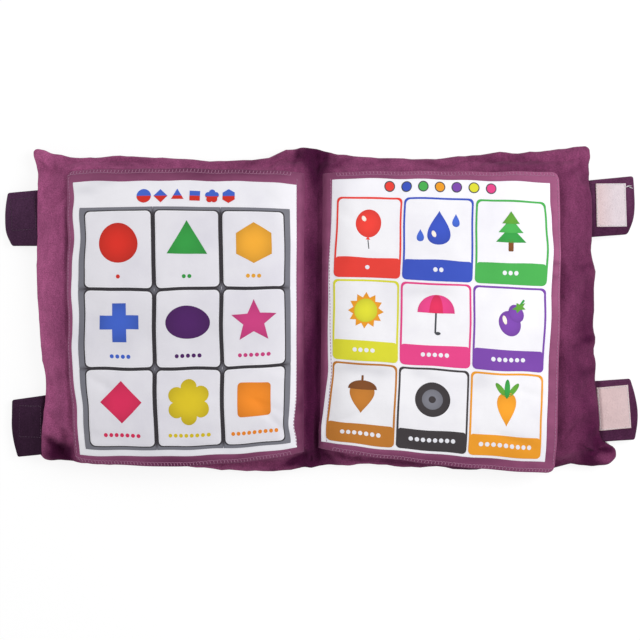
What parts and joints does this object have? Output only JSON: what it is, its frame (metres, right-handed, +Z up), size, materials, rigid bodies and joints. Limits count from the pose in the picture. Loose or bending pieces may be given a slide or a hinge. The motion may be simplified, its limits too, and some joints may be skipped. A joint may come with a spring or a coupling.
{
  "type": "crinkle cloth book",
  "caption": "Soft plush baby book lying open: two stuffed covers, a padded spine, cloth leaves with crinkling film and closure straps.",
  "frame": {"origin": "on the ground under the middle of the open book's box", "axes": "+X across both open covers towards the right cover, +Y up the page, +Z up from the ground"},
  "size_m": [0.6462, 0.3194, 0.0502],
  "materials": {
    "plum_plush": "short pile plush",
    "dark_plush": "short pile plush, laid flat",
    "plum_cloth": "smooth plush binding cloth",
    "printed_cloth": "printed white polyester cloth",
    "crinkle_film": "thin crackling film",
    "white_fibre": "loose fibre filling",
    "loop_patch": "napped loop tape",
    "hook_patch": "hook tape"
  },
  "bodies": {
    "right_cover": {"right_outer_panel": "plum_plush", "right_inner_panel": "plum_plush", "right_filling": "white_fibre", "right_cover_page": "plum_cloth", "right_cover_print": "printed_cloth", "right_leaf_root": "plum_cloth", "spine_outer_panel": "plum_plush", "spine_inner_panel": "plum_plush", "spine_filling": "white_fibre"},
    "left_cover": {"left_outer_panel": "plum_plush", "left_inner_panel": "plum_plush", "left_filling": "white_fibre", "left_cover_page": "plum_cloth", "left_cover_print": "printed_cloth", "left_leaf_root": "plum_cloth"},
    "right_leaf": {"right_leaf_back_print": "printed_cloth", "right_leaf_back_cloth": "plum_cloth", "right_leaf_crinkle_film": "crinkle_film", "right_leaf_front_cloth": "plum_cloth", "right_leaf_front_print": "printed_cloth"},
    "left_leaf": {"left_leaf_back_print": "printed_cloth", "left_leaf_back_cloth": "plum_cloth", "left_leaf_crinkle_film": "crinkle_film", "left_leaf_front_cloth": "plum_cloth", "left_leaf_front_print": "printed_cloth"},
    "right_upper_closure": {"right_upper_strap": "plum_plush", "right_upper_loop_patch": "loop_patch"},
    "right_lower_closure": {"right_lower_strap": "plum_plush", "right_lower_loop_patch": "loop_patch"},
    "left_upper_closure": {"left_upper_strap": "dark_plush", "left_upper_hook_patch": "hook_patch"},
    "left_lower_closure": {"left_lower_strap": "dark_plush", "left_lower_hook_patch": "hook_patch"}
  },
  "joints": [
    {"name": "book_fold", "type": "hinge", "parent": "right_cover", "child": "left_cover", "pos_m": [-0.0066, 0, 0.05035], "axis": [0, 1, 0], "range_deg": [0, 179], "deforming": ["spine_outer_panel", "spine_inner_panel", "spine_filling"]},
    {"name": "right_leaf_turn", "type": "hinge", "parent": "right_cover", "child": "right_leaf", "pos_m": [-0.0066, 0, 0.05035], "axis": [0, 1, 0], "range_deg": [-179, 0], "deforming": ["right_leaf_root"]},
    {"name": "left_leaf_turn", "type": "hinge", "parent": "left_cover", "child": "left_leaf", "pos_m": [-0.0066, 0, 0.05035], "axis": [0, -1, 0], "range_deg": [-179, 0], "deforming": ["left_leaf_root"]},
    {"name": "right_upper_strap_flex", "type": "hinge", "parent": "right_cover", "child": "right_upper_closure", "pos_m": [0.27054, 0.10621, 0.01455], "axis": [0.0256, -0.9997, 0], "range_deg": [0, 75]},
    {"name": "right_lower_strap_flex", "type": "hinge", "parent": "right_cover", "child": "right_lower_closure", "pos_m": [0.28073, -0.09729, 0.01455], "axis": [0.0744, -0.9972, 0], "range_deg": [0, 90]},
    {"name": "left_upper_strap_flex", "type": "hinge", "parent": "left_cover", "child": "left_upper_closure", "pos_m": [-0.2865, 0.09531, 0.01455], "axis": [-0.0445, 0.999, 0], "range_deg": [0, 90]},
    {"name": "left_lower_strap_flex", "type": "hinge", "parent": "left_cover", "child": "left_lower_closure", "pos_m": [-0.28244, -0.11277, 0.01455], "axis": [0.0055, 1, 0], "range_deg": [0, 90]}
  ]
}
